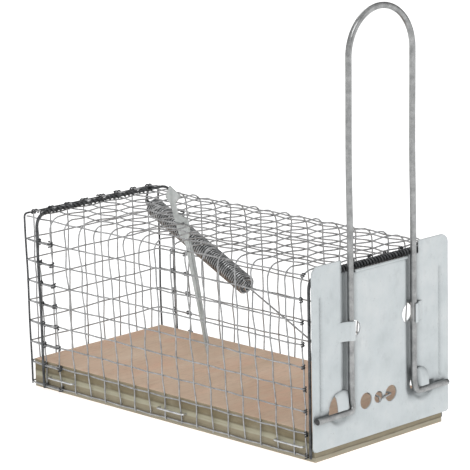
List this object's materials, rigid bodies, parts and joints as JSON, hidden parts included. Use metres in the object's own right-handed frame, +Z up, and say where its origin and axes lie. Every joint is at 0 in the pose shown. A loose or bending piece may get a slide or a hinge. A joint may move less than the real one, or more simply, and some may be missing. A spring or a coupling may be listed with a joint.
{
  "type": "live catch trap",
  "caption": "Wire mesh cage trap on a plywood board with a spring-loaded sheet door, a lifting bail and a hanging bait trigger.",
  "frame": {"origin": "centre of the board's underside, where the trap stands", "axes": "+Z up, -Y out through the door, +X to the right seen from the door"},
  "size_m": [0.1102, 0.2376, 0.2432],
  "materials": {
    "plywood": "bare sanded plywood, ply lines on the edges",
    "mesh_wire": "dull galvanised wire",
    "frame_wire": "dark galvanised wire",
    "sheet_steel": "galvanised sheet with a soft mottle",
    "bail_steel": "drawn galvanised wire",
    "spring_steel": "dark bright-drawn spring wire",
    "staple_steel": "bright zinc"
  },
  "bodies": {
    "cage": {"base_board": "plywood", "mesh_left_wall": "mesh_wire", "mesh_right_wall": "mesh_wire", "mesh_roof": "mesh_wire", "mesh_roof_edge_left": "mesh_wire", "mesh_roof_edge_right": "mesh_wire", "mesh_back_wall": "mesh_wire", "front_hoop": "frame_wire", "rear_hoop": "frame_wire", "spring_anchor": "frame_wire", "staple_left_front": "staple_steel", "staple_left_middle": "staple_steel", "staple_left_rear": "staple_steel", "staple_right_front": "staple_steel", "staple_right_middle": "staple_steel", "staple_right_rear": "staple_steel", "staple_back_left": "staple_steel", "staple_back_right": "staple_steel"},
    "door": {"door_plate": "sheet_steel", "bail_handle": "bail_steel", "door_hook": "frame_wire"},
    "trigger": {"trigger_lever": "sheet_steel"},
    "spring": {"spring_coil": "spring_steel"},
    "pull": {"pull_wire": "frame_wire"}
  },
  "joints": [
    {"name": "door_hinge", "type": "hinge", "parent": "cage", "child": "door", "pos_m": [0, -0.1119, 0.1024], "axis": [-1, 0, 0], "range_deg": [0, 88], "stiffness_Nm_per_rad": 0.03, "springref_deg": -171.89},
    {"name": "trigger_pivot", "type": "hinge", "parent": "cage", "child": "trigger", "pos_m": [-0.0108, 0.0258, 0.1043], "axis": [1, 0, 0], "range_deg": [-8, 30]},
    {"name": "spring_swing", "type": "hinge", "parent": "cage", "child": "spring", "pos_m": [0.036, 0.107, 0.0985], "axis": [-0.9841, 0.1112, 0.1384], "range_deg": [0, 17.6]},
    {"name": "spring_stretch", "type": "slide", "parent": "spring", "child": "pull", "axis": [-0.1502, -0.9368, -0.316], "range_m": [0, 0.071], "deforming": ["spring_coil"]}
  ],
  "couplings": [
    {"joint": "spring_swing", "follows": "door_hinge", "ratio": 0.19891},
    {"joint": "spring_stretch", "follows": "door_hinge", "m_per_rad": 0.045397}
  ]
}
